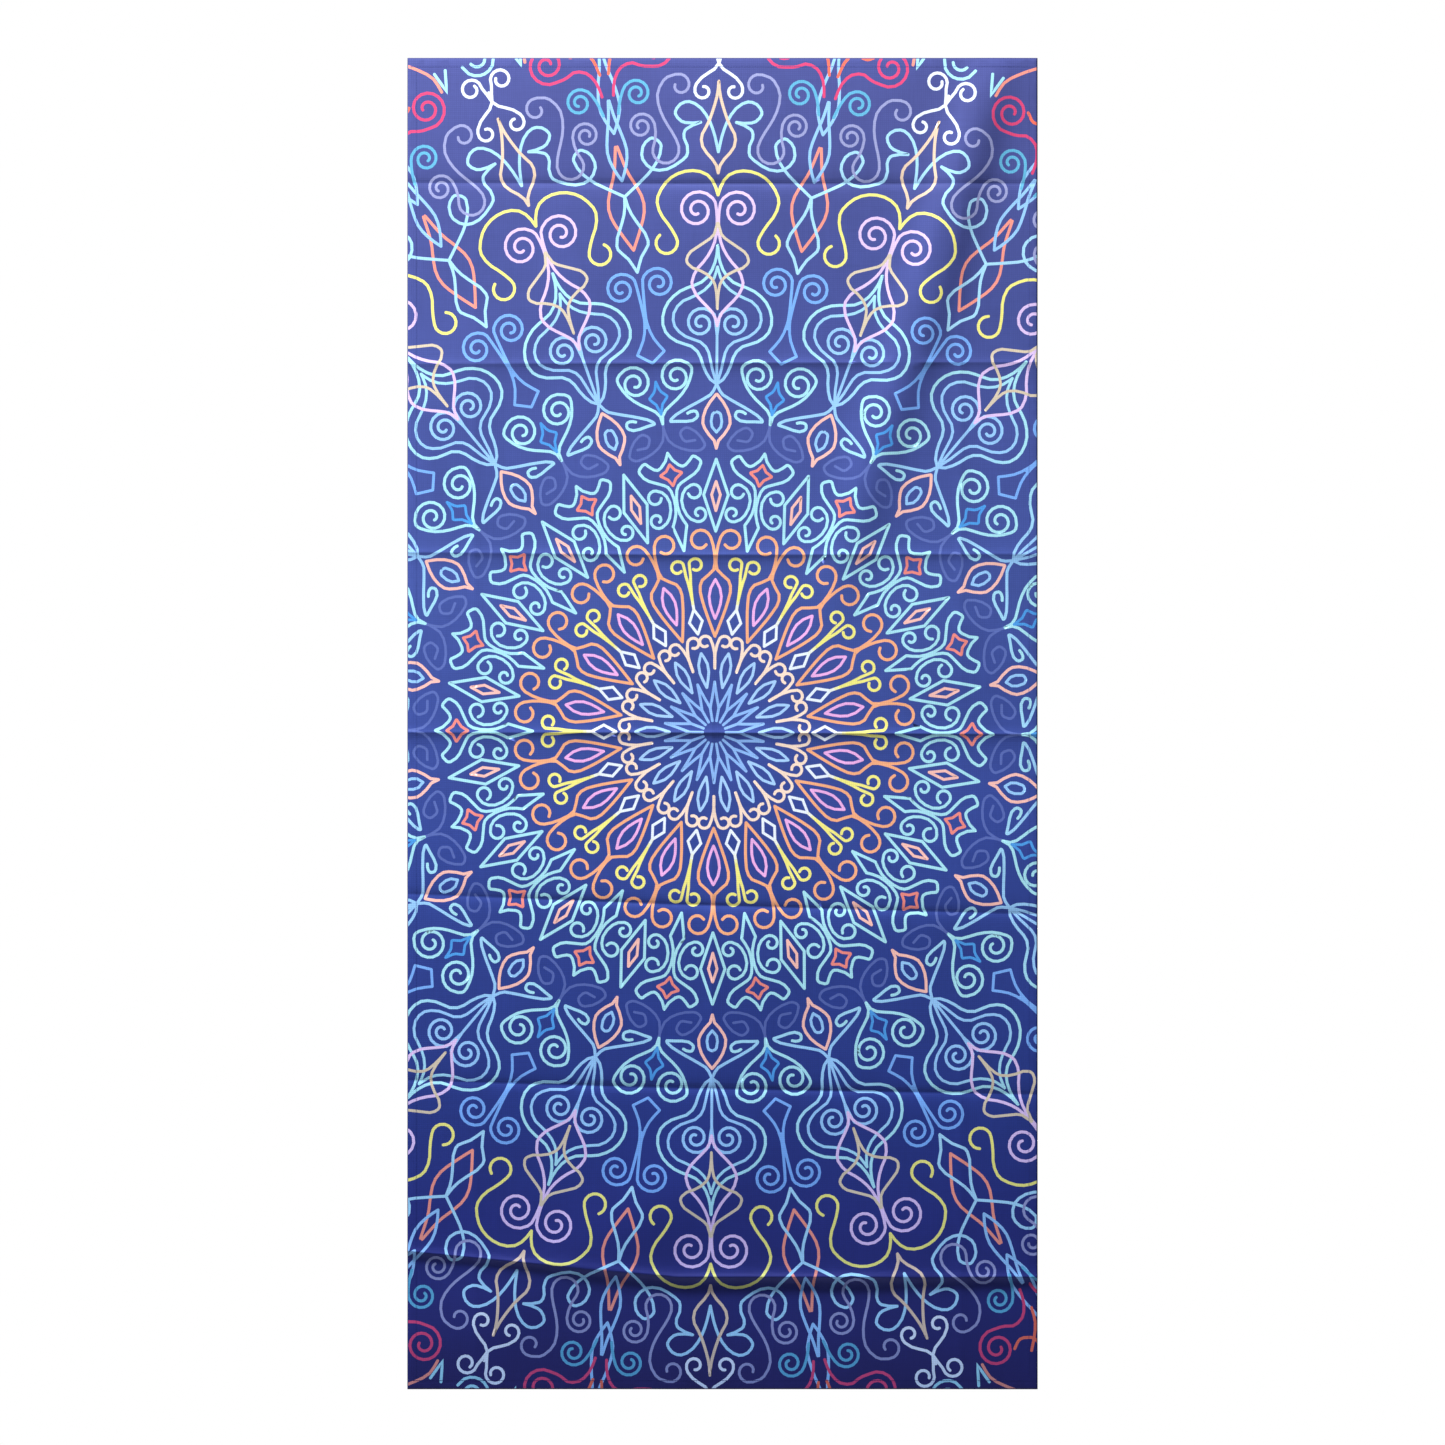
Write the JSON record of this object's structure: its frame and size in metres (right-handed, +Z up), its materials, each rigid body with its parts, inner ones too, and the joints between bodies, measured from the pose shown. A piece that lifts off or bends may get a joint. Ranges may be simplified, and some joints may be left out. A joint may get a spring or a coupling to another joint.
{
  "type": "tapestry wall hanging",
  "caption": "Tall printed cloth wall hanging with turned, stitched hems on all edges; the lower half folds up at its middle crease.",
  "frame": {"origin": "middle of the pinning strip of the top hem's back face: half way across the width, 4.75 mm below the top edge, on the face that lies against the wall", "axes": "+Y points into the wall, so the print faces -Y; +X runs to the right of someone who looks at the print; +Z runs up"},
  "size_m": [0.71, 0.0026, 1.4999],
  "materials": {
    "printed_cloth": "satin-faced polyester cloth, dye-sublimation print of fine coloured scrolls on royal blue and navy",
    "hem_cloth": "the same cloth turned to the back, where the print shows through paler",
    "seam_thread": "twisted navy polyester sewing thread, lockstitched"
  },
  "bodies": {
    "upper_half": {"cloth_upper": "printed_cloth", "top_hem": "hem_cloth", "top_hem_needle_thread": "seam_thread", "top_hem_bobbin_thread": "seam_thread", "left_hem_upper": "hem_cloth", "left_hem_upper_needle_thread": "seam_thread", "left_hem_upper_bobbin_thread": "seam_thread", "right_hem_upper": "hem_cloth", "right_hem_upper_needle_thread": "seam_thread", "right_hem_upper_bobbin_thread": "seam_thread"},
    "lower_half": {"cloth_lower": "printed_cloth", "bottom_hem": "hem_cloth", "bottom_hem_needle_thread": "seam_thread", "bottom_hem_bobbin_thread": "seam_thread", "left_hem_lower": "hem_cloth", "left_hem_lower_needle_thread": "seam_thread", "left_hem_lower_bobbin_thread": "seam_thread", "right_hem_lower": "hem_cloth", "right_hem_lower_needle_thread": "seam_thread", "right_hem_lower_bobbin_thread": "seam_thread"}
  },
  "joints": [
    {"name": "half_fold", "type": "hinge", "parent": "upper_half", "child": "lower_half", "pos_m": [0, -0.0099, -0.75625], "axis": [-1, 0, 0], "range_deg": [0, 180]}
  ]
}
